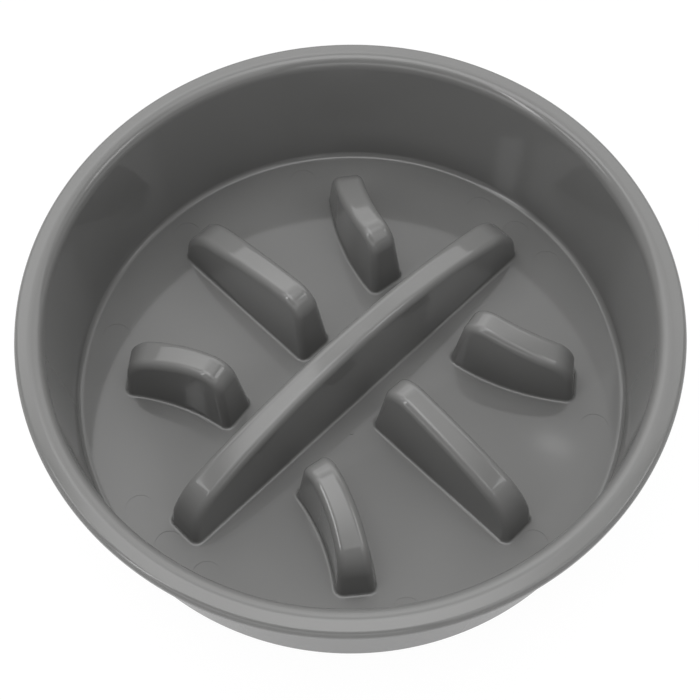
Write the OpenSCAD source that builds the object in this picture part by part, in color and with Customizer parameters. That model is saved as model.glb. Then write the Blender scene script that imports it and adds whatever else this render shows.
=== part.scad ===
// Slow feeder bowl: a round moulded dish with a turned-down rim, a flat floor,
// seven raised hollow ridges that hold the food apart, and four rubber feet.
// The long ridge runs along X. The origin is under the middle, on the surface
// that the feet stand on.

/* [Bowl] */
// Outside diameter over the rim
bowl_d = 210; // [202:1:240]
// Depth inside, from the top of the rim to the floor
bowl_depth = 50.9; // [42:0.1:64]
// Thickness of the moulded side wall
wall_t = 2; // [1.6:0.1:2.6]
// Thickness of the moulded floor
floor_t = 2; // [1.6:0.1:3]
// Lean of the side wall from upright
wall_draft = 3.4; // [1:0.1:4]
// Radius of the hollow where the wall meets the floor
corner_r = 2; // [1.5:0.25:5]
// Radius of the outside edge under the floor
base_edge_r = 1.8; // [0.5:0.1:1.9]

/* [Rim] */
// Width of the rim, from the inside of the wall to its outer edge
rim_w = 9.1; // [9:0.1:13]
// Radius of the bend from the wall into the rim
rim_bend_r = 4.25; // [3:0.25:5]
// Height of the turned-down outer edge, with its rounding
lip_h = 3.5; // [3.4:0.1:7]
// How much the rim's top falls outwards from level
rim_fall = 10; // [0:1:15]
// Radius of the rim's outer top edge
rim_edge_r = 2; // [1.2:0.1:2.4]
// Radius of the corners under the turned-down edge
lip_edge_r = 0.7; // [0.4:0.1:0.7]
// Thickness of the rim and of its turned-down edge
rim_t = 2; // [1.6:0.1:2.4]

/* [Ridges] */
// Height of the ridge tops above the floor in the middle of the bowl
ridge_h = 31.5; // [26:0.1:35]
// Radius of the dome that the ridge tops follow
dome_r = 190; // [160:1:400]
// Width of every ridge at the floor
ridge_w = 13.2; // [13:0.1:16]
// Thickness of the hollow ridges' skin
ridge_t = 1.8; // [1.4:0.1:2]
// Radius of the long top edges and of the upright corners
ridge_edge_r = 2.8; // [2:0.1:3]
// Lean of the ridges' sides from upright
ridge_draft = 4.2; // [3:0.1:5.5]
// Lean of the ridges' ends from upright
end_draft = 7; // [4:0.5:9]
// Gap on the floor from the ridge ends to the foot of the wall
ridge_gap = 13.7; // [8:0.1:18]
// Length over which a ridge end rounds down
end_round = 12; // [9:0.5:14]

/* [Straight ridges] */
// Distance of their inner ends from the middle
straight_in = 16.6; // [14:0.1:24]

/* [Curved ridges] */
// Distance of their inner ends from the middle
curved_in = 39.7; // [37:0.1:44]
// Bearing of the inner ends from the long ridge
curved_in_angle = 25.4; // [25:0.1:28]
// Bearing of the outer ends from the long ridge
curved_out_angle = 46.3; // [44:0.1:49]
// Radius of their bend
curved_bend_r = 75.5; // [60:0.5:120]
// How much further the outer ends stay from the wall than the straight ridges' do
curved_setback = 1.6; // [0:0.1:4]
// Height of their dome above the other ridges' dome
curved_rise = 1.5; // [0:0.1:3]
// Length over which their outer ends round down
curved_end_round = 8.5; // [7:0.5:12]

/* [Feet] */
// Diameter of a rubber foot
foot_d = 11; // [8:0.5:12]
// Thickness of a rubber foot
foot_t = 2.4; // [2:0.1:4]
// Depth of the seat that a foot is glued into
seat_depth = 0.8; // [0.4:0.1:1]
// Radius of a foot's lower edge
foot_edge_r = 0.8; // [0.3:0.1:1]

/* [Moulding marks] */
// Diameter of the ejector-pin marks on the floor
pin_d = 9.5; // [5:0.5:10]
// Depth of the ejector-pin marks
pin_depth = 0.12; // [0.1:0.02:0.3]

/* [Hidden] */

// One overrun for every cut
cut = 1;
// Play between a foot and its seat, all round
seat_play = 0.1;
// Land of floor left outside a foot's seat
seat_land = 1.5;
// Land of floor left outside an ejector-pin mark
pin_land = 2.95;
// Bearing of the feet from the long ridge, in every quarter
foot_angle = 45;
// Most of the floor's thickness that its lower edge may round off
edge_share = 0.9;
// Smallest radius left inside the rim's rounded edge
least_r = 0.3;
// Bearings of the ejector pins, from the ends of the long ridge round to the
// straight ridges, which repeat in the other three quarters
pin_angles = [0, 11.2, 57.2, 90];

// Heights
foot_drop = foot_t - seat_depth;
floor_z = foot_drop + floor_t;
top_z = floor_z + bowl_depth;
bend_z = top_z - rim_bend_r;

// Radii
rim_r = bowl_d / 2;
mouth_r = rim_r - rim_w;
floor_r = mouth_r - (bowl_depth - rim_bend_r) * tan(wall_draft);
base_r = floor_r + wall_t;
corner_at = floor_r + corner_r * tan(wall_draft) - corner_r / cos(wall_draft);
ridge_out = corner_at - ridge_gap;
seat_r = corner_at - seat_land - seat_play - foot_d / 2;
pin_r = corner_at - pin_land - pin_d / 2;

// Fineness of the round shapes
$fn = 180;
round_fn = 48;
arc_steps = 8;
// Steps along a ridge's top, along its rounded end and across its edge
top_steps = 12;
end_steps = 6;
edge_steps = 4;

// Colours
shell_colour = "#8c8a87";
rubber_colour = "#3c3b3a";

// Helpers

// Quarter of a disc in the corner at the origin, towards +x and +y
module quarter_disc(r) {
    intersection() {
        circle(r, $fn = round_fn);
        square(r);
    }
}

// Points of an arc round a middle from one bearing to another
function arc(at, r, from, to) =
    [for (i = [0:arc_steps])
        let (a = from + (to - from) * i / arc_steps)
        at + r * [cos(a), sin(a)]];

// Rim and wall

// Middle of a rounding of the rim's outer edge, or of the one that lies deep inside it
function edge_middle(r, deep) =
    let (x = rim_r - deep - r,
         run = x - mouth_r - rim_bend_r)
    [x, bend_z + (rim_bend_r - deep - r - run * sin(rim_fall)) / cos(rim_fall)];

// Half section of the bend, the falling rim and the turned-down edge
module rim_section() {
    bend_middle = [mouth_r + rim_bend_r, bend_z];
    edge_at = edge_middle(rim_edge_r, 0);
    inner_r = max(rim_edge_r - rim_t, least_r);
    lip_z = edge_at[1] + rim_edge_r - lip_h + lip_edge_r;
    tilt = 90 - rim_fall;
    polygon(concat(
        arc(bend_middle, rim_bend_r, 180, tilt),
        arc(edge_at, rim_edge_r, tilt, 0),
        arc([rim_r - lip_edge_r, lip_z], lip_edge_r, 0, -90),
        arc([rim_r - rim_t + lip_edge_r, lip_z], lip_edge_r, -90, -180),
        arc(edge_middle(inner_r, rim_t), inner_r, 0, tilt),
        arc(bend_middle, rim_bend_r - wall_t, tilt, 180)));
}

module bowl_rim() {
    color(shell_colour)
        rotate_extrude()
            rim_section();
}

// Half section of the leaning wall and the hollow at its foot
module wall_section() {
    polygon([[floor_r, floor_z], [base_r, floor_z],
             [mouth_r + wall_t, bend_z], [mouth_r, bend_z]]);
    translate([corner_at, floor_z])
        difference() {
            polygon([[0, 0], [floor_r - corner_at + wall_t / 2, 0],
                     [floor_r - corner_at + wall_t / 2, corner_r],
                     [corner_r * cos(wall_draft), corner_r * (1 - sin(wall_draft))],
                     [0, corner_r]]);
            translate([0, corner_r])
                circle(corner_r, $fn = round_fn);
        }
}

module bowl_wall() {
    color(shell_colour)
        rotate_extrude()
            wall_section();
}

// Ridges

// Height of a dome over the floor at a distance from the middle
function dome_z(r, h) = h - dome_r + sqrt(dome_r * dome_r - r * r);

// Straight spine along +x: the place at a length along it and a step to its side
straight_spine = function(along, aside) [along, aside];

// Spine that bends round a centre, from its outer end to its inner end
curved_out_at = (ridge_out - curved_setback) * [cos(curved_out_angle), sin(curved_out_angle)];
curved_in_at = curved_in * [cos(curved_in_angle), sin(curved_in_angle)];
chord = curved_in_at - curved_out_at;
bend_side = [-chord[1], chord[0]] / norm(chord);
bend_at = (curved_out_at + curved_in_at) / 2
    + bend_side * sqrt(curved_bend_r * curved_bend_r - chord * chord / 4);
bend_from = atan2(curved_out_at[1] - bend_at[1], curved_out_at[0] - bend_at[0]);
curved_l = 2 * curved_bend_r * asin(norm(chord) / 2 / curved_bend_r) * PI / 180;
curved_spine = function(along, aside)
    let (turn = bend_from + along / curved_bend_r * 180 / PI)
    bend_at + (curved_bend_r - aside) * [cos(turn), sin(turn)];

// Profile of one ridge end as [along, up, normal along, normal up]: the leaning
// end wall, then an arc that meets the dome. Way is 1 at a ridge's near end.
function end_profile(rise, end, reach, way, low, steps) =
    let (lean = tan(end_draft),
         step = reach / steps,
         meet = [end + way * reach, rise(end + way * reach)],
         fall = (rise(meet[0] - way * step) - meet[1]) / step,
         back = (reach - lean * meet[1]) / (1 + lean * fall),
         corner = meet + back * [-way, fall],
         arm = norm(meet - corner),
         along_wall = [-way * sin(end_draft), -cos(end_draft)],
         along_top = (meet - corner) / arm,
         half = acos(along_wall * along_top) / 2,
         r = arm * tan(half),
         middle = corner + (along_wall + along_top) / norm(along_wall + along_top)
             * arm / cos(half),
         wall_normal = [-way * cos(end_draft), sin(end_draft)],
         sweep = 180 - 2 * half,
         at = [for (i = [0:steps])
             let (a = -way * sweep * i / steps,
                  n = [wall_normal[0] * cos(a) - wall_normal[1] * sin(a),
                       wall_normal[0] * sin(a) + wall_normal[1] * cos(a)])
             concat(middle + r * n, n)])
    concat([concat([end - way * lean * low, -low], wall_normal)], at);

// One row of points across a ridge: side wall, rounded edge, flat top and back
function ridge_row(spine, at, half_w, edge_r, low, steps) =
    let (centre = [at[0] - edge_r * at[2], at[1] - edge_r * at[3]],
         side = half_w - centre[1] * tan(ridge_draft) - edge_r / cos(ridge_draft),
         flank = [for (i = [0:steps])
             let (a = (90 - ridge_draft) * (1 - i / steps))
             [side + edge_r * sin(a),
              centre[0] + at[2] * edge_r * cos(a),
              centre[1] + at[3] * edge_r * cos(a)]],
         foot = [half_w + 2 * low * tan(ridge_draft), flank[0][1], -2 * low],
         right = concat([foot], flank))
    concat([for (p = right) concat(spine(p[1], p[0]), p[2])],
           [for (i = [len(right) - 1:-1:0])
               let (p = right[i])
               concat(spine(p[1], -p[0]), p[2])]);

// Solid ridge on the floor plane, carried on below it by low
module ridge_form(spine, from, to, half_w, h, edge_r, near_round, far_round, low) {
    rise = function(along) dome_z(norm(spine(along, 0)), h);
    near = end_profile(rise, from, near_round, 1, low, end_steps);
    far = end_profile(rise, to, far_round, -1, low, end_steps);
    top_from = from + near_round;
    top_to = to - far_round;
    top = [for (i = [1:top_steps - 1])
        let (along = top_from + (top_to - top_from) * i / top_steps,
             d = (top_to - top_from) / top_steps,
             tilt = [rise(along - d) - rise(along + d), 2 * d])
        concat([along, rise(along)], tilt / norm(tilt))];
    profile = concat(near, top, [for (i = [len(far) - 1:-1:0]) far[i]]);
    rows = [for (at = profile) ridge_row(spine, at, half_w, edge_r, low, edge_steps)];
    wide = len(rows[0]);
    long = len(rows);
    skin = [for (i = [0:long - 2], j = [0:wide - 1])
        let (a = i * wide + j,
             b = i * wide + (j + 1) % wide)
        each [[a, b + wide, b], [a, a + wide, b + wide]]];
    last = (long - 1) * wide;
    caps = [for (j = [0:wide / 2 - 2])
        let (k = wide - 1 - j)
        each [[j, j + 1, k], [j + 1, k - 1, k],
              [last + j, last + k, last + j + 1],
              [last + j + 1, last + k, last + k - 1]]];
    polyhedron([for (row = rows) each row], concat(skin, caps));
}

// Hollow ridge that stands on the floor, open underneath
module ridge_shell(spine, from, to, h, near_round, far_round) {
    size = bowl_d + bowl_depth;
    translate([0, 0, floor_z])
        difference() {
            intersection() {
                ridge_form(spine, from, to, ridge_w / 2, h, ridge_edge_r,
                           near_round, far_round, cut);
                translate([-size / 2, -size / 2, 0])
                    cube([size, size, bowl_depth]);
            }
            ridge_form(spine, from + ridge_t, to - ridge_t, ridge_w / 2 - ridge_t,
                       h - ridge_t, ridge_edge_r - ridge_t,
                       near_round - ridge_t, far_round - ridge_t, cut);
        }
}

module straight_ridge_shell() {
    ridge_shell(straight_spine, straight_in, ridge_out, ridge_h, end_round, end_round);
}

module curved_ridge_shell() {
    ridge_shell(curved_spine, 0, curved_l, ridge_h + curved_rise,
                curved_end_round, end_round);
}

module long_ridge() {
    color(shell_colour)
        ridge_shell(straight_spine, -ridge_out, ridge_out, ridge_h, end_round, end_round);
}

module straight_ridge_front() {
    color(shell_colour)
        rotate(-90)
            straight_ridge_shell();
}

module straight_ridge_back() {
    color(shell_colour)
        rotate(90)
            straight_ridge_shell();
}

module curved_ridge_back_right() {
    color(shell_colour)
        curved_ridge_shell();
}

module curved_ridge_back_left() {
    color(shell_colour)
        mirror([1, 0, 0])
            curved_ridge_shell();
}

module curved_ridge_front_right() {
    color(shell_colour)
        mirror([0, 1, 0])
            curved_ridge_shell();
}

module curved_ridge_front_left() {
    color(shell_colour)
        rotate(180)
            curved_ridge_shell();
}

// Floor

// Slot under a straight ridge, as wide as its hollow
module straight_slot(from, to) {
    slot_w = ridge_w - 2 * ridge_t;
    r = ridge_edge_r - ridge_t;
    for (x = [from + ridge_t + r, to - ridge_t - r], y = [r - slot_w / 2, slot_w / 2 - r])
        translate([x, y])
            circle(r, $fn = round_fn);
    translate([from + ridge_t + r, -slot_w / 2])
        square([to - from - 2 * (ridge_t + r), slot_w]);
    translate([from + ridge_t, r - slot_w / 2])
        square([to - from - 2 * ridge_t, slot_w - 2 * r]);
}

// Slot under a curved ridge, as wide as its hollow
module curved_slot() {
    slot_w = ridge_w - 2 * ridge_t;
    inset = ridge_t / curved_bend_r * 180 / PI;
    turn = curved_l / curved_bend_r * 180 / PI - 2 * inset;
    translate([bend_at[0], bend_at[1], -cut])
        rotate(bend_from + inset)
            rotate_extrude(angle = turn)
                translate([curved_bend_r - slot_w / 2, 0])
                    square([slot_w, floor_t + 2 * cut]);
}

// Copies in all four quarters
module four_quarters() {
    for (x = [0, 1], y = [0, 1])
        mirror([x, 0, 0])
            mirror([0, y, 0])
                children();
}

// Disc with a round lower edge that the wall and the ridges stand on
module floor_disc() {
    edge_r = min(base_edge_r, edge_share * floor_t);
    rotate_extrude() {
        square([base_r - edge_r, floor_t]);
        translate([0, edge_r])
            square([base_r, floor_t - edge_r]);
        translate([base_r - edge_r, edge_r])
            mirror([0, 1])
                quarter_disc(edge_r);
    }
}

module bowl_floor() {
    color(shell_colour)
        translate([0, 0, foot_drop])
            difference() {
                floor_disc();
                translate([0, 0, -cut])
                    linear_extrude(floor_t + 2 * cut) {
                        straight_slot(-ridge_out, ridge_out);
                        rotate(90)
                            straight_slot(straight_in, ridge_out);
                        rotate(-90)
                            straight_slot(straight_in, ridge_out);
                    }
                four_quarters()
                    curved_slot();
                four_quarters()
                    rotate(foot_angle)
                        translate([seat_r, 0, -cut])
                            cylinder(r = foot_d / 2 + seat_play, h = seat_depth + cut,
                                     $fn = round_fn);
                four_quarters()
                    for (a = pin_angles)
                        rotate(a)
                            translate([pin_r, 0, floor_t - pin_depth])
                                cylinder(r = pin_d / 2, h = pin_depth + cut,
                                         $fn = round_fn);
            }
}

// Feet

// Rubber pad with a round lower edge, out at a bearing
module foot(bearing) {
    color(rubber_colour)
        rotate(bearing)
            translate([seat_r, 0, 0])
                rotate_extrude($fn = round_fn) {
                    square([foot_d / 2 - foot_edge_r, foot_t]);
                    translate([0, foot_edge_r])
                        square([foot_d / 2, foot_t - foot_edge_r]);
                    translate([foot_d / 2 - foot_edge_r, foot_edge_r])
                        mirror([0, 1])
                            quarter_disc(foot_edge_r);
                }
}

module foot_back_right() { foot(foot_angle); }
module foot_back_left() { foot(180 - foot_angle); }
module foot_front_left() { foot(180 + foot_angle); }
module foot_front_right() { foot(-foot_angle); }

bowl_rim();
bowl_wall();
bowl_floor();
long_ridge();
straight_ridge_front();
straight_ridge_back();
curved_ridge_front_left();
curved_ridge_front_right();
curved_ridge_back_left();
curved_ridge_back_right();
foot_front_left();
foot_front_right();
foot_back_left();
foot_back_right();
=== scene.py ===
from math import acos, asin, atan2, cos, pi, radians, sin, sqrt, tan

import bmesh
import bpy
from bpy.props import FloatProperty, FloatVectorProperty, IntProperty, PointerProperty
from bpy.types import Operator, Panel, PropertyGroup
from mathutils import Matrix, Vector


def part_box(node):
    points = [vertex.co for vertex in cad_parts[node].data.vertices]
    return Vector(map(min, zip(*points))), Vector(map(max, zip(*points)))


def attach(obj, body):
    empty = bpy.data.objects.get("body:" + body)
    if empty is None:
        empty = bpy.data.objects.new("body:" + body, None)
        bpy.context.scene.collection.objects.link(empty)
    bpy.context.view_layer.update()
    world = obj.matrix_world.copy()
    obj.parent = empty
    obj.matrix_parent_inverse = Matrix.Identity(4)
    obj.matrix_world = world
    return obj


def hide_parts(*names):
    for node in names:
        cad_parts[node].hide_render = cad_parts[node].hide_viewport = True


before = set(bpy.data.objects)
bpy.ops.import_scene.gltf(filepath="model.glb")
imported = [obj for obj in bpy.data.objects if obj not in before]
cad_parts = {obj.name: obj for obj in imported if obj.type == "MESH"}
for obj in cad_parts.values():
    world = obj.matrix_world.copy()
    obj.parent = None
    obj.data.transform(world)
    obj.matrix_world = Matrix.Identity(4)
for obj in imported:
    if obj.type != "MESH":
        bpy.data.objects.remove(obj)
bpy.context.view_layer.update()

bl_info = {
    "name": "Slow feeder bowl",
    "version": (1, 0, 0),
    "blender": (4, 5, 0),
    "location": "3D View > Sidebar > Feeder",
    "description": "Builds a moulded slow feeder bowl and its studio round the CAD frame",
    "category": "Add Mesh",
}

MM = 0.001

RIM_LOW, RIM_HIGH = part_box("bowl_rim")
WALL_LOW, WALL_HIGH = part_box("bowl_wall")
FLOOR_LOW, FLOOR_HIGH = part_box("bowl_floor")
LONG_LOW, LONG_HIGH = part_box("long_ridge")
FOOT_LOW, FOOT_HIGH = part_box("foot_back_right")
FLOOR_MIDDLE_Z = (FLOOR_LOW.z + FLOOR_HIGH.z) / 2

# Two corners of a curved surface that meet at less than this are one smooth surface
SHARP_ANGLE = radians(32)
# Corners closer together than this are one corner
SAME_PLACE = 0.0005 * MM
# How far the rim's round top stays under the top of the frame's flat faces
TOP_PLAY = 0.01 * MM
# Step along a ridge's top over which its slope is measured
SLOPE_STEP = 0.1 * MM
# Faces round a mark on the floor or a foot's seat, and round a rubber foot
MARK_STEPS = 64
FOOT_STEPS = 96
# A face whose normal lies more than this along an axis faces that way
FACING = 0.7
# Bearings of the ejector pins off the two axes, which repeat in all four quarters
PIN_BEARINGS = (radians(11.2), radians(57.2))


# Sizes and colours


def length(name, description, default, low=0.0, high=1.0):
    return FloatProperty(name=name, description=description, default=default, min=low, max=high,
                         precision=5, subtype="DISTANCE", unit="LENGTH")


def angle(name, description, default):
    return FloatProperty(name=name, description=description, default=radians(default),
                         subtype="ANGLE", unit="ROTATION")


def colour(name, description, default):
    return FloatVectorProperty(name=name, description=description, size=3, min=0.0, max=1.0,
                               default=from_hex(default), subtype="COLOR")


def from_hex(text):
    """Linear colour of an sRGB hex value."""
    shares = [int(text[i:i + 2], 16) / 255 for i in (1, 3, 5)]
    return tuple(s / 12.92 if s <= 0.04045 else ((s + 0.055) / 1.055) ** 2.4 for s in shares)


class BowlSizes(PropertyGroup):
    rim_radius: length("Rim radius", "Radius over the rim",
                       min(-RIM_LOW.x, RIM_HIGH.x, -RIM_LOW.y, RIM_HIGH.y))
    rim_width: length("Rim width", "From the inside of the wall to the rim's edge", 9.1 * MM)
    rim_bend: length("Rim bend", "Radius of the bend from the wall into the rim", 4.25 * MM)
    rim_fall: angle("Rim fall", "How much the rim's top falls outwards from level", 10)
    rim_edge: length("Rim edge", "Radius of the rim's outer top edge", 2.0 * MM)
    lip_edge: length("Lip edge", "Radius of the turned-down edge's lower corners", 0.7 * MM)
    wall: length("Wall", "Thickness of the wall, the rim and the floor",
                 FLOOR_HIGH.z - FLOOR_LOW.z)
    wall_draft: angle("Wall draft", "Lean of the wall from upright", 3.4)
    corner: length("Corner", "Radius of the hollow where the wall meets the floor", 2 * MM)
    base_edge: length("Base edge", "Radius of the outside edge under the floor", 1.8 * MM)
    slot_edge: length("Slot edge", "Radius of the lower edge round a hollow ridge", 0.8 * MM)
    pin: length("Ejector pin", "Diameter of the ejector-pin marks", 9.5 * MM)
    pin_depth: length("Pin depth", "Depth of the ejector-pin marks", 0.12 * MM)
    pin_land: length("Pin land", "Land of floor left outside an ejector-pin mark", 2.95 * MM)
    gate: length("Gate stub", "Diameter of the stub that the mould's gate leaves", 1.3 * MM)
    gate_height: length("Gate height", "Height of the gate's stub over the floor", 0.25 * MM)
    gate_x: length("Gate place along", "Place of the stub along the long ridge", -13.7 * MM, -1.0)
    gate_y: length("Gate place across", "Place of the stub across the long ridge", -14.0 * MM, -1.0)
    foot_edge: length("Foot edge", "Radius of a rubber foot's lower edge", 0.8 * MM)
    seat_play: length("Seat play", "Play between a foot and its seat", 0.1 * MM)
    seam: length("Seam", "Height of a piece's flat skirt over the floor it lies on", 0.01 * MM)
    swell: length("Swell", "Width, past the fillet, of the floor's rise to a ridge", 0.35 * MM)
    swell_tilt: angle("Swell tilt", "Slope of the floor's rise to a ridge", 9)
    skirt: length("Skirt", "Width of the flat skirt past the corner or a ridge's swell",
                  0.3 * MM)
    round_steps: IntProperty(name="Round steps", default=360, min=24,
                             description="Faces round the bowl")
    corner_steps: IntProperty(name="Corner steps", default=10, min=2,
                              description="Faces across a rounded corner")


class RidgeSizes(PropertyGroup):
    height: length("Height", "Height of the tops above the floor in the middle", 31.5 * MM)
    dome: length("Dome", "Radius of the dome that the tops follow", 190 * MM)
    width: length("Width", "Width of every ridge at the floor", LONG_HIGH.y - LONG_LOW.y)
    skin: length("Skin", "Thickness of the hollow ridges' skin", 1.8 * MM)
    edge: length("Edge", "Radius of the long top edges and upright corners", 2.8 * MM)
    foot: length("Foot", "Radius of the hollow between a ridge and the floor", 0.6 * MM)
    draft: angle("Side draft", "Lean of the sides from upright", 4.2)
    end_draft: angle("End draft", "Lean of the ends from upright", 7)
    end_round: length("End round", "Length over which an end rounds down", 12 * MM)
    straight_in: length("Inner end", "Distance of the straight ridges from the middle", 16.6 * MM)
    curved_in: length("Curved inner end", "Distance of the curved ridges from the middle",
                      39.7 * MM)
    curved_in_angle: angle("Inner bearing", "Bearing of a curved ridge's inner end", 25.4)
    curved_out_angle: angle("Outer bearing", "Bearing of a curved ridge's outer end", 46.3)
    curved_bend: length("Bend", "Radius of a curved ridge's bend", 75.5 * MM)
    curved_setback: length("Setback", "How much further the outer ends stay from the wall",
                           1.6 * MM)
    curved_rise: length("Rise", "Height of the curved ridges' dome above the others'", 1.5 * MM)
    curved_end_round: length("Outer end round", "Length over which an outer end rounds down",
                             8.5 * MM)
    top_steps: IntProperty(name="Top steps", default=24, min=2,
                           description="Faces along a ridge's top")
    edge_steps: IntProperty(name="Edge steps", default=8, min=2,
                            description="Faces across a rounded edge")


class Finishes(PropertyGroup):
    shell: colour("Moulding", "Grey of the moulded bowl", "#777776")
    rubber: colour("Rubber", "Dark grey of the feet", "#3c3b3a")
    gloss: FloatProperty(name="Roughness", default=0.08, min=0.0, max=1.0,
                         description="Roughness of the moulded surface", subtype="FACTOR")


class StudioSettings(PropertyGroup):
    distance: length("Distance", "Camera to the middle of the floor", 522.8 * MM)
    azimuth: angle("Azimuth", "Camera's bearing round the bowl", -43.963)
    elevation: angle("Elevation", "Camera's height above the horizon", 63.826)
    roll: angle("Roll", "Camera's turn about its view", -1.202)
    lens: FloatProperty(name="Lens", default=78.64, min=1.0,
                        description="Focal length in mm on a 36 mm sensor")


# The moulding: size of the melt's patches and how much lighter and darker they are; size,
# depth and strength of the orange peel; index of refraction
FLOW_SIZE = 35 * MM
FLOW_SPREAD = 0.03
PEEL_SIZE = 6 * MM
PEEL_DEPTH = 0.1 * MM
PEEL_STRENGTH = 0.05
PLASTIC_IOR = 1.49

# The rubber: size, depth and strength of its grain, roughness and index of refraction
GRAIN_SIZE = 0.6 * MM
GRAIN_DEPTH = 0.05 * MM
GRAIN_STRENGTH = 0.3
RUBBER_ROUGHNESS = 0.75
RUBBER_IOR = 1.52

# Where the middle of the floor shows in the photograph, in its 700 by 700 pixels
FLOOR_MIDDLE_PX = (351.254, 380.675)
PHOTO_PX = 700
SENSOR_MM = 36

# The white table: half its width, its paint, and its own glow with the share of it that the
# camera sees and the share that the bowl mirrors
TABLE_HALF = 4
TABLE_PAINT = (0.5, 0.5, 0.5, 1)
TABLE_GLOW = 1.07
GLOW_SEEN = 0.9
GLOW_MIRRORED = 0.65

# The highest a panel of light can reach, and half the width of one that goes all round
ZENITH = 90
ALL_ROUND = 180

# Strength of the white room that the camera sees past the table
ROOM_SEEN = 1.0

# The light round the bowl, panel by panel, in degrees: its bearing from the camera towards the
# right, half its width, its lower and upper edge over the horizon, how soft its edges are; and
# then its strength
PANELS = {
    "surround": (0, 180, 0, 13, 3, 0.6),
    "front low": (335, 40, 13, 30, 4, 1.5),
    "front left strip": (300, 4, 30, 60, 2, 6),
    "front right": (45, 22, 27, 66, 4, 1.1),
    "right": (90, 22, 30, 50, 4, 0.6),
    "left": (270, 22, 13, 60, 4, 0.3),
    "back low": (180, 62, 18, 52, 4, 1.6),
    "back high": (180, 62, 52, 64, 4, 1.15),
    "back left": (205, 30, 40, 58, 6, 0.7),
    "high": (0, 180, 63, 76, 5, 1.0),
    "high left": (250, 50, 63, 76, 5, 1.65),
    "overhead": (0, 180, 77, 90, 7, 3.4),
}

# The lamps: direction seen from the bowl with the camera to the front, width and height in
# metres, and watts
LAMPS = {
    "softbox_left": ((-0.677, -0.06, 0.736), (0.28, 0.28), 0.6),
    "softbox_right": ((0.677, -0.06, 0.736), (0.28, 0.28), 0.6),
    "ceiling_lamp": ((0.19, 0.373, 0.908), (0.035, 0.012), 0.0045),
}
LAMP_DISTANCE = 1.1

# Nearest and furthest that the camera sees, in metres
CLIP_START = 0.01
CLIP_END = 20


# Shapes


def rounded_outline(corners, steps):
    """Bmesh of one face in the XZ plane; a corner is (x, z, radius of its rounding)."""
    bm = bmesh.new()
    verts = [bm.verts.new((x, 0, z)) for x, z, _ in corners]
    bm.faces.new(verts)
    count = len(corners)
    for i, (x, z, radius) in enumerate(corners):
        if not radius:
            continue
        here = Vector((x, z))
        before = (here - Vector(corners[i - 1][:2])).normalized()
        after = (Vector(corners[(i + 1) % count][:2]) - here).normalized()
        turn = acos(max(-1.0, min(1.0, before.dot(after))))
        bmesh.ops.bevel(bm, geom=[verts[i]], offset=radius * tan(turn / 2),
                        offset_type="OFFSET", segments=steps, profile=0.5,
                        affect="VERTICES", material=-1)
    return bm


def revolved(corners, corner_steps, round_steps, centre=(0, 0, 0)):
    """Bmesh of a closed outline spun about an upright axis through centre."""
    bm = rounded_outline(corners, corner_steps)
    bmesh.ops.delete(bm, geom=bm.faces[:], context="FACES_ONLY")
    on_axis = [e for e in bm.edges if all(abs(v.co.x) < SAME_PLACE for v in e.verts)]
    bmesh.ops.delete(bm, geom=on_axis, context="EDGES")
    bmesh.ops.spin(bm, geom=bm.verts[:] + bm.edges[:], cent=(0, 0, 0), axis=(0, 0, 1),
                   angle=2 * pi, steps=round_steps, use_merge=True)
    bmesh.ops.remove_doubles(bm, verts=bm.verts[:], dist=SAME_PLACE)
    bmesh.ops.translate(bm, verts=bm.verts[:], vec=centre)
    return bm


def add_piece(name, bm, material, slot, *nodes):
    """Makes a bmesh a piece of the bowl that stands for these CAD nodes."""
    bmesh.ops.remove_doubles(bm, verts=bm.verts[:], dist=SAME_PLACE)
    bmesh.ops.recalc_face_normals(bm, faces=bm.faces[:])
    for face in bm.faces:
        face.smooth = True
    for edge in bm.edges:
        edge.smooth = edge.calc_face_angle(0.0) < SHARP_ANGLE
    mesh = bpy.data.meshes.new(name)
    bm.to_mesh(mesh)
    bm.free()
    mesh.materials.append(material)
    piece = bpy.data.objects.new(name, mesh)
    bpy.context.scene.collection.objects.link(piece)
    flats = piece.modifiers.new("flats stay flat", "WEIGHTED_NORMAL")
    flats.keep_sharp = True
    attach(piece, "root")
    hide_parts(*nodes)
    return piece


def floor_places(bowl):
    """Radii of the inner edge of the wall's hollow corner, and of the wall at the floor."""
    mouth = bowl.rim_radius - bowl.rim_width
    wall_foot = mouth - (WALL_HIGH.z - FLOOR_HIGH.z) * tan(bowl.wall_draft)
    corner_at = (wall_foot + bowl.corner * tan(bowl.wall_draft)
                 - bowl.corner / cos(bowl.wall_draft))
    return corner_at, wall_foot


# Ridges


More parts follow.
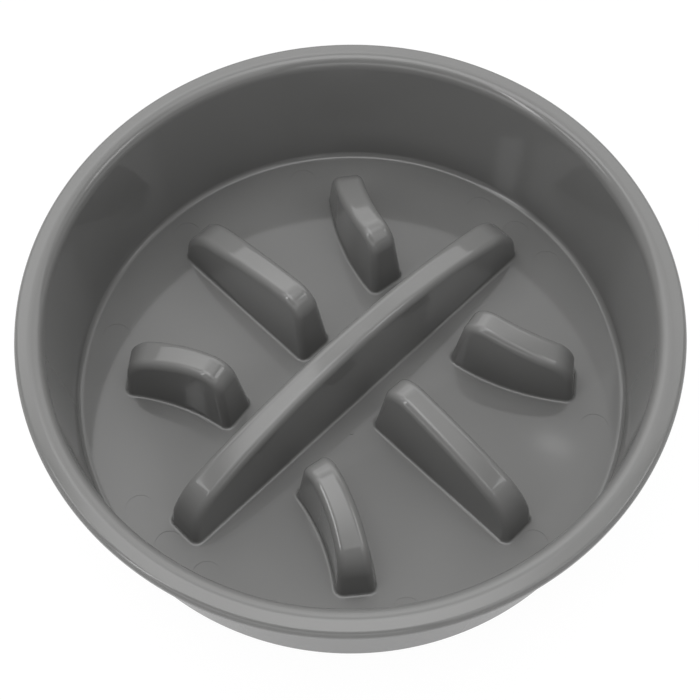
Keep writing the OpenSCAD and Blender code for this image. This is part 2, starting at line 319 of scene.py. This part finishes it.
class Ridge:
    """One ridge: the line it follows, its two ends along that line, its height, the lengths
    over which its ends round down, and the turn or mirroring into its place."""

    def __init__(self, sizes, spine, start, end, height, near_round, far_round, place):
        self.sizes = sizes
        self.spine = spine
        self.start = start
        self.end = end
        self.height = height
        self.near_round = near_round
        self.far_round = far_round
        self.place = place

    def rise(self, along, inset):
        """Height of the top over the floor, inset by the skin for the hollow inside."""
        x, y = self.spine(along, 0)
        dome = self.sizes.dome
        return self.height - inset - dome + sqrt(dome * dome - x * x - y * y)

    def blank(self, inset, foot_z):
        """Bmesh of the outer form, smaller all round by inset, cut open at its foot."""
        s = self.sizes
        edge = s.edge - inset
        bm = self.side_face(inset, 2 * s.edge, edge)
        self.widen(bm, s.width / 2 - inset)
        chain = self.long_edges(bm)
        for vert in bm.verts:
            vert.co.xy = self.spine(vert.co.x, vert.co.y)
            vert.co.z += foot_z
        bm.normal_update()
        bmesh.ops.bevel(bm, geom=chain, offset=edge * tan(pi / 4 - s.draft / 2),
                        offset_type="OFFSET", segments=s.edge_steps, profile=0.5,
                        affect="EDGES", material=-1, loop_slide=True)
        bmesh.ops.bisect_plane(bm, geom=bm.verts[:] + bm.edges[:] + bm.faces[:],
                               dist=SAME_PLACE, plane_co=(0, 0, foot_z), plane_no=(0, 0, 1),
                               clear_inner=True)
        bmesh.ops.remove_doubles(bm, verts=bm.verts[:], dist=SAME_PLACE)
        bmesh.ops.transform(bm, matrix=self.place, verts=bm.verts[:])
        bmesh.ops.recalc_face_normals(bm, faces=bm.faces[:])
        return bm

    def side_face(self, inset, low, border):
        """Bmesh of the ridge seen from its side, carried on below the floor by low, with a
        border of faces along its edge and upright cuts inside that."""
        s = self.sizes
        near = self.start + self.near_round
        far = self.end - self.far_round
        start = self.start + inset
        end = self.end - inset
        lean = tan(s.end_draft)
        bm = bmesh.new()
        corners = [bm.verts.new(p) for p in ((start - lean * low, 0, -low),
                                             (end + lean * low, 0, -low),
                                             self.end_corner(far, end, -1, inset),
                                             self.end_corner(near, start, 1, inset))]
        bm.faces.new(corners)
        top = bm.edges.get(corners[2:])
        bmesh.ops.subdivide_edges(bm, edges=[top], cuts=s.top_steps + 1)
        upper = sorted((v for v in bm.verts if v.co.z > 0), key=lambda v: v.co.x)
        for i, vert in enumerate(upper[1:-1]):
            along = near + (far - near) * i / s.top_steps
            vert.co = (along, 0, self.rise(along, inset))
        arms = [(corner, (meet.co - corner.co).length)
                for corner, meet in ((upper[0], upper[1]), (upper[-1], upper[-2]))]
        for corner, arm in arms:
            bmesh.ops.bevel(bm, geom=[corner], offset=arm, offset_type="OFFSET",
                            segments=2 * s.edge_steps, profile=0.5, affect="VERTICES",
                            material=-1)
        bmesh.ops.remove_doubles(bm, verts=bm.verts[:], dist=SAME_PLACE)
        made = bmesh.ops.inset_region(bm, faces=bm.faces[:], thickness=border,
                                      use_boundary=True, use_even_offset=True)
        rim = set(made["faces"])
        inside = {v for f in bm.faces if f not in rim for v in f.verts}
        for x in sorted({v.co.x for v in inside if v.co.z > 0})[1:-1]:
            middle = [f for f in bm.faces if f not in rim]
            geom = middle + list({e for f in middle for e in f.edges})
            bmesh.ops.bisect_plane(bm, geom=geom + list({v for f in middle for v in f.verts}),
                                   dist=SAME_PLACE, plane_co=(x, 0, 0), plane_no=(1, 0, 0))
        return bm

    def end_corner(self, meet_x, end_x, way, inset):
        """Where the slope of the top at meet_x reaches the leaning end wall."""
        meet_z = self.rise(meet_x, inset)
        fall = (self.rise(meet_x - way * SLOPE_STEP, inset) - meet_z) / SLOPE_STEP
        lean = tan(self.sizes.end_draft)
        back = (abs(meet_x - end_x) - lean * meet_z) / (1 + lean * fall)
        return meet_x - way * back, 0, meet_z + back * fall

    def widen(self, bm, half_width):
        """Draws the flat face out sideways between two leaning sides."""
        grown = bmesh.ops.extrude_face_region(bm, geom=bm.faces[:])["geom"]
        far_side = set(verts_of(grown))
        for vert in bm.verts:
            side = 1 if vert in far_side else -1
            vert.co.y = side * (half_width - vert.co.z * tan(self.sizes.draft))
        bmesh.ops.recalc_face_normals(bm, faces=bm.faces[:])

    @staticmethod
    def long_edges(bm):
        """The edges between the sides and the top or the ends."""
        bm.normal_update()
        found = []
        for edge in bm.edges:
            sides = [f for f in edge.link_faces if abs(f.normal.y) > FACING]
            others = [f for f in edge.link_faces if abs(f.normal.y) <= FACING
                      and f.normal.z > -FACING]
            if len(sides) == 1 and len(others) == 1:
                found.append(edge)
        return found

    def piece_mesh(self, bowl):
        """Bmesh of the hollow ridge with its fillet, the floor's gentle rise to it and a
        flat skirt on the floor."""
        s = self.sizes
        fillet = s.foot * tan(pi / 4 - s.draft / 2)
        reach = fillet + bowl.swell
        rise = reach * tan(bowl.swell_tilt)
        bm = self.blank(0, FLOOR_HIGH.z + bowl.seam + rise)
        loop = boundary(bm)
        swell, away = extruded(bm, loop, outward(bm, loop),
                               lambda way: way * reach - Vector((0, 0, rise)))
        skirt, away = extruded(bm, swell, away, lambda way: way * bowl.skirt)
        extruded(bm, skirt, away, lambda way: Vector((0, 0, -bowl.seam)))
        bm.normal_update()
        bmesh.ops.bevel(bm, geom=loop, offset=fillet, offset_type="OFFSET",
                        segments=s.edge_steps, profile=0.5, affect="EDGES", material=-1,
                        loop_slide=True)
        hollow = self.blank(s.skin, FLOOR_HIGH.z)
        bmesh.ops.reverse_faces(hollow, faces=hollow.faces[:])
        join(bm, hollow)
        bmesh.ops.bridge_loops(bm, edges=boundary(bm))
        return bm


def outward(bm, loop):
    """Level outward direction at each corner of a loop."""
    bm.normal_update()
    return {v: Vector((v.normal.x, v.normal.y, 0)).normalized() for e in loop for v in e.verts}


def extruded(bm, edges, away, move):
    """Extrudes edges and moves each new corner by what move gives for its outward direction.
    Returns the new edges and the outward direction of each new corner."""
    made = bmesh.ops.extrude_edge_only(bm, edges=edges)["geom"]
    new_away = {}
    for vert in verts_of(made):
        old = next(e.other_vert(vert) for e in vert.link_edges if e.other_vert(vert) in away)
        new_away[vert] = away[old]
        vert.co += move(away[old])
    return ([e for e in made if isinstance(e, bmesh.types.BMEdge)
             and all(v in new_away for v in e.verts)], new_away)


def join(bm, other):
    """Adds another bmesh to bm and frees it."""
    mesh = bpy.data.meshes.new("joined")
    other.to_mesh(mesh)
    other.free()
    bm.from_mesh(mesh)
    bpy.data.meshes.remove(mesh)


def straight_spine(along, aside):
    return along, aside


def curved_spine(sizes, ridge_out):
    """The line of a curved ridge, from its outer end to its inner end, and its length."""
    outer = Vector((cos(sizes.curved_out_angle), sin(sizes.curved_out_angle)))
    outer *= ridge_out - sizes.curved_setback
    inner = Vector((cos(sizes.curved_in_angle), sin(sizes.curved_in_angle))) * sizes.curved_in
    chord = inner - outer
    bend = sizes.curved_bend
    side = Vector((-chord.y, chord.x)).normalized()
    centre = (outer + inner) / 2 + side * sqrt(bend * bend - chord.length_squared / 4)
    begins = atan2(outer.y - centre.y, outer.x - centre.x)

    def spine(along, aside):
        turn = begins + along / bend
        return centre + Vector((cos(turn), sin(turn))) * (bend - aside)

    return spine, 2 * bend * asin(chord.length / 2 / bend)


def all_ridges(context):
    """Every ridge by the name of its CAD node."""
    sizes = context.scene.feeder_ridges
    ridge_out = LONG_HIGH.x
    curve, curved_length = curved_spine(sizes, ridge_out)
    ridges = {"long_ridge": Ridge(sizes, straight_spine, -ridge_out, ridge_out, sizes.height,
                                  sizes.end_round, sizes.end_round, Matrix())}
    for name, turn in (("straight_ridge_back", 90), ("straight_ridge_front", -90)):
        ridges[name] = Ridge(sizes, straight_spine, sizes.straight_in, ridge_out, sizes.height,
                             sizes.end_round, sizes.end_round,
                             Matrix.Rotation(radians(turn), 4, "Z"))
    for name, way_x, way_y in (("back_right", 1, 1), ("back_left", -1, 1),
                               ("front_right", 1, -1), ("front_left", -1, -1)):
        ridges["curved_ridge_" + name] = Ridge(sizes, curve, 0, curved_length,
                                               sizes.height + sizes.curved_rise,
                                               sizes.curved_end_round, sizes.end_round,
                                               Matrix.Diagonal((way_x, way_y, 1, 1)))
    return ridges


# Materials


def add_node(tree, kind, values=None, links=None, **settings):
    """Adds one node with its settings, the values of its sockets and the links into them.
    Sockets that share a name go by number: a mix node has its numbers at 2 and 3 and its
    colours at 6 and 7."""
    made = tree.nodes.new(kind)
    for name, value in settings.items():
        setattr(made, name, value)
    for socket, value in (values or {}).items():
        made.inputs[socket].default_value = value
    for socket, source in (links or {}).items():
        tree.links.new(source, made.inputs[socket])
    return made


def new_material(name):
    """A material with an empty node tree, or the one of that name made before."""
    material = bpy.data.materials.get(name)
    if material:
        return material, None
    material = bpy.data.materials.new(name)
    material.use_nodes = True
    material.node_tree.nodes.clear()
    return material, material.node_tree


def moulded_polypropylene(context):
    """Grey polypropylene from a polished mould: a soft even grey under a clear, faintly
    wavy gloss."""
    material, tree = new_material("moulded_polypropylene")
    if tree is None:
        return material
    finish = context.scene.feeder_finish
    place = add_node(tree, "ShaderNodeTexCoord").outputs["Object"]
    # Flow of the melt: patches a few centimetres across, a hair lighter and darker
    flow = add_node(tree, "ShaderNodeTexNoise", {"Scale": 1 / FLOW_SIZE, "Detail": 3.0},
                    {"Vector": place})
    dark = tuple(c * (1 - FLOW_SPREAD) for c in finish.shell) + (1,)
    light = tuple(c * (1 + FLOW_SPREAD) for c in finish.shell) + (1,)
    base = add_node(tree, "ShaderNodeMix", {6: dark, 7: light}, {0: flow.outputs["Fac"]},
                    data_type="RGBA")
    # Orange peel of the moulded skin, which bends the reflections a little
    peel = add_node(tree, "ShaderNodeTexNoise", {"Scale": 1 / PEEL_SIZE, "Detail": 1.0},
                    {"Vector": place})
    bump = add_node(tree, "ShaderNodeBump", {"Strength": PEEL_STRENGTH, "Distance": PEEL_DEPTH},
                    {"Height": peel.outputs["Fac"]})
    shader = add_node(tree, "ShaderNodeBsdfPrincipled",
                      {"Roughness": finish.gloss, "IOR": PLASTIC_IOR},
                      {"Base Color": base.outputs[2], "Normal": bump.outputs["Normal"]})
    add_node(tree, "ShaderNodeOutputMaterial", links={"Surface": shader.outputs["BSDF"]})
    return material


def moulded_rubber(context):
    """Dark grey rubber of the feet: matt, with a fine moulded grain."""
    material, tree = new_material("moulded_rubber")
    if tree is None:
        return material
    finish = context.scene.feeder_finish
    place = add_node(tree, "ShaderNodeTexCoord").outputs["Object"]
    # Fine grain that keeps the rubber from shining
    grain = add_node(tree, "ShaderNodeTexNoise", {"Scale": 1 / GRAIN_SIZE, "Detail": 2.0},
                     {"Vector": place})
    bump = add_node(tree, "ShaderNodeBump", {"Strength": GRAIN_STRENGTH, "Distance": GRAIN_DEPTH},
                    {"Height": grain.outputs["Fac"]})
    shader = add_node(tree, "ShaderNodeBsdfPrincipled",
                      {"Base Color": tuple(finish.rubber) + (1,),
                       "Roughness": RUBBER_ROUGHNESS, "IOR": RUBBER_IOR},
                      {"Normal": bump.outputs["Normal"]})
    add_node(tree, "ShaderNodeOutputMaterial", links={"Surface": shader.outputs["BSDF"]})
    return material


# Operators


class FEEDER_OT_rim(Operator):
    """Build the rim with its bend out of the wall, its falling top and its turned-down edge"""

    bl_idname = "feeder.rim"
    bl_label = "Rim"

    def execute(self, context):
        bowl = context.scene.feeder_bowl
        outside = bowl.rim_radius
        inside = outside - bowl.wall
        shape = revolved(
            [(bowl.rim_radius - bowl.rim_width, WALL_HIGH.z, 0),
             (*self.bend_corner(bowl, 0), bowl.rim_bend),
             (outside, self.top_line(bowl, outside, 0), bowl.rim_edge),
             (outside, RIM_LOW.z, bowl.lip_edge), (inside, RIM_LOW.z, bowl.lip_edge),
             (inside, self.top_line(bowl, inside, bowl.wall), 0),
             (*self.bend_corner(bowl, bowl.wall), bowl.rim_bend - bowl.wall),
             (bowl.rim_radius - bowl.rim_width + bowl.wall, WALL_HIGH.z, 0)],
            bowl.corner_steps, bowl.round_steps)
        add_piece("rim", shape, moulded_polypropylene(context), "moulding", "bowl_rim")
        return {"FINISHED"}

    @staticmethod
    def top_line(bowl, x, depth):
        """Height at radius x of the rim's falling top, or of a line that far under it."""
        middle_z = RIM_HIGH.z - TOP_PLAY - bowl.rim_bend
        middle_x = (bowl.rim_radius - bowl.rim_width + (middle_z - WALL_HIGH.z)
                    * tan(bowl.wall_draft) + bowl.rim_bend / cos(bowl.wall_draft))
        return (middle_z + (bowl.rim_bend - depth) / cos(bowl.rim_fall)
                - (x - middle_x) * tan(bowl.rim_fall))

    @classmethod
    def bend_corner(cls, bowl, depth):
        """Where the line of the wall meets the line of the rim's top, both that deep in."""
        lean = tan(bowl.wall_draft)
        fall = tan(bowl.rim_fall)
        wall_x = bowl.rim_radius - bowl.rim_width + depth
        over = cls.top_line(bowl, wall_x, depth) - WALL_HIGH.z
        rise = over / (1 + lean * fall)
        return wall_x + rise * lean, WALL_HIGH.z + rise


class FEEDER_OT_wall(Operator):
    """Build the leaning side wall with its hollow corner and a flat skirt on the floor"""

    bl_idname = "feeder.wall"
    bl_label = "Wall"

    def execute(self, context):
        bowl = context.scene.feeder_bowl
        corner_at, wall_foot = floor_places(bowl)
        floor_z = FLOOR_HIGH.z
        mouth = bowl.rim_radius - bowl.rim_width
        shape = revolved(
            [(corner_at - bowl.skirt, floor_z, 0), (corner_at - bowl.skirt, floor_z + bowl.seam, 0),
             (wall_foot, floor_z + bowl.seam, bowl.corner), (mouth, WALL_HIGH.z, 0),
             (mouth + bowl.wall, WALL_HIGH.z, 0), (wall_foot + bowl.wall, floor_z, 0)],
            bowl.corner_steps, bowl.round_steps)
        add_piece("wall", shape, moulded_polypropylene(context), "moulding", "bowl_wall")
        return {"FINISHED"}


class FEEDER_OT_floor(Operator):
    """Build the floor with the open undersides of the ridges, foot seats, ejector-pin marks
    and the gate's stub"""

    bl_idname = "feeder.floor"
    bl_label = "Floor"

    def execute(self, context):
        bowl = context.scene.feeder_bowl
        corner_at, wall_foot = floor_places(bowl)
        base_r = wall_foot + bowl.wall
        pin_r = corner_at - bowl.pin_land - bowl.pin / 2
        foot_middle = (FOOT_LOW + FOOT_HIGH) / 2
        seat_r = (FOOT_HIGH.x - FOOT_LOW.x) / 2 + bowl.seat_play
        marks = [(pin_r * cos(a), pin_r * sin(a), bowl.pin / 2, -bowl.pin_depth)
                 for a in pin_bearings()]
        marks.append((bowl.gate_x, bowl.gate_y, bowl.gate / 2, bowl.gate_height))
        seats = [(foot_middle.x * x, foot_middle.y * y, seat_r, FOOT_HIGH.z - FLOOR_LOW.z)
                 for x in (1, -1) for y in (1, -1)]
        bm = floor_edge(bowl, base_r)
        top, under = [], []
        for edge in boundary(bm):
            (top if edge.verts[0].co.z > FLOOR_MIDDLE_Z else under).append(edge)
        for ridge in all_ridges(context).values():
            upper, lower = slot(bm, bowl, ridge)
            top += upper
            under += lower
        cover(bm, top, FLOOR_HIGH.z, marks)
        cover(bm, under, FLOOR_LOW.z, seats)
        add_piece("floor", bm, moulded_polypropylene(context), "moulding", "bowl_floor")
        return {"FINISHED"}


def pin_bearings():
    """Bearings of the ejector pins in all four quarters."""
    found = [0, pi / 2, pi, -pi / 2]
    for a in PIN_BEARINGS:
        found += [a, pi - a, pi + a, -a]
    return found


def floor_edge(bowl, base_r):
    """Bmesh of the floor's outer band with its rounded lower edge."""
    inside = base_r - 2 * bowl.base_edge
    bm = bmesh.new()
    corners = [(inside, FLOOR_HIGH.z), (base_r, FLOOR_HIGH.z), (base_r, FLOOR_LOW.z),
               (inside, FLOOR_LOW.z)]
    verts = [bm.verts.new((x, 0, z)) for x, z in corners]
    edges = [bm.edges.new(pair) for pair in zip(verts, verts[1:])]
    bmesh.ops.spin(bm, geom=verts + edges, cent=(0, 0, 0), axis=(0, 0, 1), angle=2 * pi,
                   steps=bowl.round_steps, use_merge=True)
    bmesh.ops.remove_doubles(bm, verts=bm.verts[:], dist=SAME_PLACE)
    bmesh.ops.recalc_face_normals(bm, faces=bm.faces[:])
    lower = [e for e in bm.edges if on_circle(e, base_r, FLOOR_LOW.z)]
    bmesh.ops.bevel(bm, geom=lower, offset=bowl.base_edge, offset_type="OFFSET",
                    segments=bowl.corner_steps, profile=0.5, affect="EDGES", material=-1)
    return bm


def slot(bm, bowl, ridge):
    """Adds the sides of a ridge's open underside, flared and rounded at the bottom.
    Returns its upper and its lower loop of edges."""
    hollow = ridge.blank(ridge.sizes.skin, FLOOR_HIGH.z)
    loop = boundary(hollow)
    away = outward(hollow, loop)
    kept = set(loop)
    bmesh.ops.delete(hollow, geom=[e for e in hollow.edges if e not in kept],
                     context="EDGES_FACES")
    corner, away = extruded(hollow, loop, away, lambda way: Vector((0, 0, -bowl.wall)))
    extruded(hollow, corner, away, lambda way: way * 2 * bowl.slot_edge)
    hollow.normal_update()
    bmesh.ops.bevel(hollow, geom=corner, offset=bowl.slot_edge, offset_type="OFFSET",
                    segments=bowl.corner_steps // 2, profile=0.5, affect="EDGES", material=-1,
                    loop_slide=True)
    known = set(bm.edges)
    join(bm, hollow)
    ends = [e for e in bm.edges if e not in known and e.is_boundary]
    return ([e for e in ends if e.verts[0].co.z > FLOOR_MIDDLE_Z],
            [e for e in ends if e.verts[0].co.z < FLOOR_MIDDLE_Z])


def cover(bm, loops, z, marks):
    """Fills the floor's top or underside between these loops, with round marks sunk in or
    raised. A mark is its place, its radius and how far it rises."""
    circles = []
    for x, y, radius, by in marks:
        circle = bmesh.ops.create_circle(bm, cap_ends=False, radius=radius,
                                         segments=MARK_STEPS,
                                         matrix=Matrix.Translation((x, y, z)))
        circles.append((list({e for v in circle["verts"] for e in v.link_edges}), by))
    bmesh.ops.triangle_fill(bm, edges=loops + [e for circle, _ in circles for e in circle],
                            use_beauty=True, use_dissolve=False, normal=(0, 0, 1))
    for circle, by in circles:
        sides = bmesh.ops.extrude_edge_only(bm, edges=circle)["geom"]
        moved = verts_of(sides)
        bmesh.ops.translate(bm, verts=moved, vec=(0, 0, by))
        bmesh.ops.contextual_create(bm, geom=moved)


def verts_of(geometry):
    return [v for v in geometry if isinstance(v, bmesh.types.BMVert)]


def boundary(bm):
    return [e for e in bm.edges if e.is_boundary]


def on_circle(edge, radius, z):
    return all(abs(v.co.xy.length - radius) < 10 * SAME_PLACE and abs(v.co.z - z) < SAME_PLACE
               for v in edge.verts)


class FEEDER_OT_ridges(Operator):
    """Build the seven hollow ridges with their fillets on the floor"""

    bl_idname = "feeder.ridges"
    bl_label = "Ridges"

    def execute(self, context):
        bowl = context.scene.feeder_bowl
        for node, ridge in all_ridges(context).items():
            add_piece(node + "_skin", ridge.piece_mesh(bowl), moulded_polypropylene(context),
                      "moulding", node)
        return {"FINISHED"}


class FEEDER_OT_feet(Operator):
    """Build the four round rubber feet"""

    bl_idname = "feeder.feet"
    bl_label = "Feet"

    def execute(self, context):
        bowl = context.scene.feeder_bowl
        for where in ("front_left", "front_right", "back_left", "back_right"):
            low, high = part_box("foot_" + where)
            radius = (high.x - low.x) / 2
            middle = (low + high) / 2
            shape = revolved(
                [(0, low.z, 0), (radius, low.z, bowl.foot_edge), (radius, high.z, 0),
                 (0, high.z, 0)],
                bowl.corner_steps, FOOT_STEPS, (middle.x, middle.y, 0))
            add_piece("rubber_foot_" + where, shape, moulded_rubber(context), "foot_rubber",
                      "foot_" + where)
        return {"FINISHED"}


class FEEDER_OT_stage(Operator):
    """Set up the white table, the room with its panels of light, the lamps and the camera"""

    bl_idname = "feeder.stage"
    bl_label = "Stage"

    def execute(self, context):
        scene = context.scene
        scene.view_settings.view_transform = "Standard"
        self.table(scene)
        self.world(scene)
        self.lamps(scene)
        self.camera(scene)
        return {"FINISHED"}

    def table(self, scene):
        bm = bmesh.new()
        bmesh.ops.create_grid(bm, x_segments=1, y_segments=1, size=TABLE_HALF)
        mesh = bpy.data.meshes.new("table")
        bm.to_mesh(mesh)
        bm.free()
        top = bpy.data.objects.new("table", mesh)
        scene.collection.objects.link(top)
        material, tree = new_material("white_table")
        if tree:
            # The camera and the gloss of the bowl see mostly glow, so the table shows white and
            # keeps a faint shadow from its paint
            ray = add_node(tree, "ShaderNodeLightPath")
            paint = add_node(tree, "ShaderNodeBsdfDiffuse", {"Color": TABLE_PAINT})
            glow = add_node(tree, "ShaderNodeEmission", {"Strength": TABLE_GLOW})
            seen = add_node(tree, "ShaderNodeMath", links={
                0: ray.outputs["Is Camera Ray"], 1: ray.outputs["Is Transmission Ray"]},
                operation="MAXIMUM")
            mirrored = add_node(tree, "ShaderNodeMath", {1: GLOW_MIRRORED},
                                {0: ray.outputs["Is Glossy Ray"]}, operation="MULTIPLY")
            share = add_node(tree, "ShaderNodeMath", {1: GLOW_SEEN},
                             {0: seen.outputs[0], 2: mirrored.outputs[0]},
                             operation="MULTIPLY_ADD")
            mix = add_node(tree, "ShaderNodeMixShader", links={
                0: share.outputs[0], 1: paint.outputs[0], 2: glow.outputs[0]})
            add_node(tree, "ShaderNodeOutputMaterial", links={"Surface": mix.outputs[0]})
        mesh.materials.append(material)

    def world(self, scene):
        """Soft panels of light in a dim room, which add up where they overlap."""
        world = bpy.data.worlds.new("studio")
        scene.world = world
        world.use_nodes = True
        tree = world.node_tree
        tree.nodes.clear()
        way = add_node(tree, "ShaderNodeTexCoord").outputs["Generated"]
        turned = add_node(tree, "ShaderNodeVectorRotate",
                          {"Angle": -scene.feeder_studio.azimuth}, {"Vector": way},
                          rotation_type="Z_AXIS").outputs[0]
        height = add_node(tree, "ShaderNodeSeparateXYZ", links={"Vector": turned}).outputs["Z"]
        flat = add_node(tree, "ShaderNodeVectorMath", {1: (1, 1, 0)}, {0: turned},
                        operation="MULTIPLY").outputs[0]
        level = add_node(tree, "ShaderNodeVectorMath", links={0: flat},
                         operation="NORMALIZE").outputs[0]
        glow = add_node(tree, "ShaderNodeBackground", {"Color": (1, 1, 1, 1)})
        total = None
        for *where, strength in PANELS.values():
            share = self.panel_share(tree, height, level, *where)
            lit = add_node(tree, "ShaderNodeMath", {1: strength, 2: 0}, {0: share},
                           operation="MULTIPLY_ADD")
            if total:
                tree.links.new(total, lit.inputs[2])
            total = lit.outputs[0]
        # The camera sees a white room past the table
        ray = add_node(tree, "ShaderNodeLightPath")
        shown = add_node(tree, "ShaderNodeMix", {3: ROOM_SEEN},
                         {0: ray.outputs["Is Camera Ray"], 2: total}, data_type="FLOAT")
        tree.links.new(shown.outputs[0], glow.inputs["Strength"])
        add_node(tree, "ShaderNodeOutputWorld", links={"Surface": glow.outputs[0]})

    def panel_share(self, tree, height, level, bearing, half, low, high, soft):
        """How much of a panel of light lies in a direction, from 0 to 1."""
        share = self.step(tree, height, sin(radians(low - soft)), sin(radians(low + soft)))
        edges = []
        if high < ZENITH:
            edges.append(self.step(tree, height, sin(radians(high + soft)),
                                   sin(radians(high - soft))))
        if half < ALL_ROUND:
            middle = (sin(radians(bearing)), -cos(radians(bearing)), 0)
            near = add_node(tree, "ShaderNodeVectorMath", {1: middle}, {0: level},
                            operation="DOT_PRODUCT").outputs["Value"]
            edges.append(self.step(tree, near, cos(radians(half + soft)),
                                   cos(radians(half - soft))))
        for edge in edges:
            share = add_node(tree, "ShaderNodeMath", links={0: share, 1: edge},
                             operation="MULTIPLY").outputs[0]
        return share

    @staticmethod
    def step(tree, value, low, high):
        """A soft step of value from 0 at low to 1 at high."""
        return add_node(tree, "ShaderNodeMapRange", {"From Min": low, "From Max": high},
                        {"Value": value}, interpolation_type="SMOOTHSTEP").outputs["Result"]

    def lamps(self, scene):
        for name, (direction, size, watts) in LAMPS.items():
            way = photo_turn(scene) @ Vector(direction)
            lamp = bpy.data.lights.new(name, "AREA")
            lamp.shape = "RECTANGLE"
            lamp.size, lamp.size_y = size
            lamp.energy = watts
            holder = bpy.data.objects.new(name, lamp)
            holder.location = way.normalized() * LAMP_DISTANCE
            holder.rotation_euler = way.to_track_quat("Z", "Y").to_euler()
            scene.collection.objects.link(holder)

    def camera(self, scene):
        view = scene.feeder_studio
        data = bpy.data.cameras.new("camera")
        data.sensor_width = SENSOR_MM
        data.lens = view.lens
        data.clip_start = CLIP_START
        data.clip_end = CLIP_END
        camera = bpy.data.objects.new("camera", data)
        scene.collection.objects.link(camera)
        focal_px = view.lens / SENSOR_MM * PHOTO_PX
        yaw = -atan2(FLOOR_MIDDLE_PX[0] - PHOTO_PX / 2, focal_px)
        pitch = view.elevation - atan2(FLOOR_MIDDLE_PX[1] - PHOTO_PX / 2, focal_px)
        ahead = Vector((sin(yaw) * cos(pitch), cos(yaw) * cos(pitch), -sin(pitch)))
        right = Vector((cos(yaw), -sin(yaw), 0))
        up = right.cross(ahead)
        across = right * cos(view.roll) + up * sin(view.roll)
        above = up * cos(view.roll) - right * sin(view.roll)
        turn = Matrix((across, above, -ahead)).transposed()
        place = Vector((0, -cos(view.elevation), sin(view.elevation))) * view.distance
        upright = photo_turn(scene)
        spot = upright @ place + Vector((0, 0, FLOOR_HIGH.z))
        camera.matrix_world = Matrix.Translation(spot) @ (upright @ turn).to_4x4()
        scene.camera = camera


def photo_turn(scene):
    """Turn from the camera's own bearing to the bowl's frame."""
    return Matrix.Rotation(scene.feeder_studio.azimuth, 3, "Z")


class FEEDER_PT_panel(Panel):
    """Lists the pieces in the order in which they are built"""

    bl_idname = "FEEDER_PT_panel"
    bl_label = "Slow feeder bowl"
    bl_space_type = "VIEW_3D"
    bl_region_type = "UI"
    bl_category = "Feeder"

    def draw(self, context):
        for maker in MAKERS:
            self.layout.operator(maker.bl_idname)
        for group in (context.scene.feeder_bowl, context.scene.feeder_ridges,
                      context.scene.feeder_finish, context.scene.feeder_studio):
            box = self.layout.box()
            for name in group.__annotations__:
                box.prop(group, name)


MAKERS = (FEEDER_OT_rim, FEEDER_OT_wall, FEEDER_OT_floor, FEEDER_OT_ridges, FEEDER_OT_feet,
          FEEDER_OT_stage)
GROUPS = {"feeder_bowl": BowlSizes, "feeder_ridges": RidgeSizes, "feeder_finish": Finishes,
          "feeder_studio": StudioSettings}


def register():
    for made in (*GROUPS.values(), *MAKERS, FEEDER_PT_panel):
        bpy.utils.register_class(made)
    for name, group in GROUPS.items():
        setattr(bpy.types.Scene, name, PointerProperty(type=group))


def unregister():
    for name in GROUPS:
        delattr(bpy.types.Scene, name)
    for made in reversed((*GROUPS.values(), *MAKERS, FEEDER_PT_panel)):
        bpy.utils.unregister_class(made)


def main():
    register()
    bpy.ops.feeder.rim()
    bpy.ops.feeder.wall()
    bpy.ops.feeder.floor()
    bpy.ops.feeder.ridges()
    bpy.ops.feeder.feet()
    bpy.ops.feeder.stage()


if __name__ == "__main__":
    main()
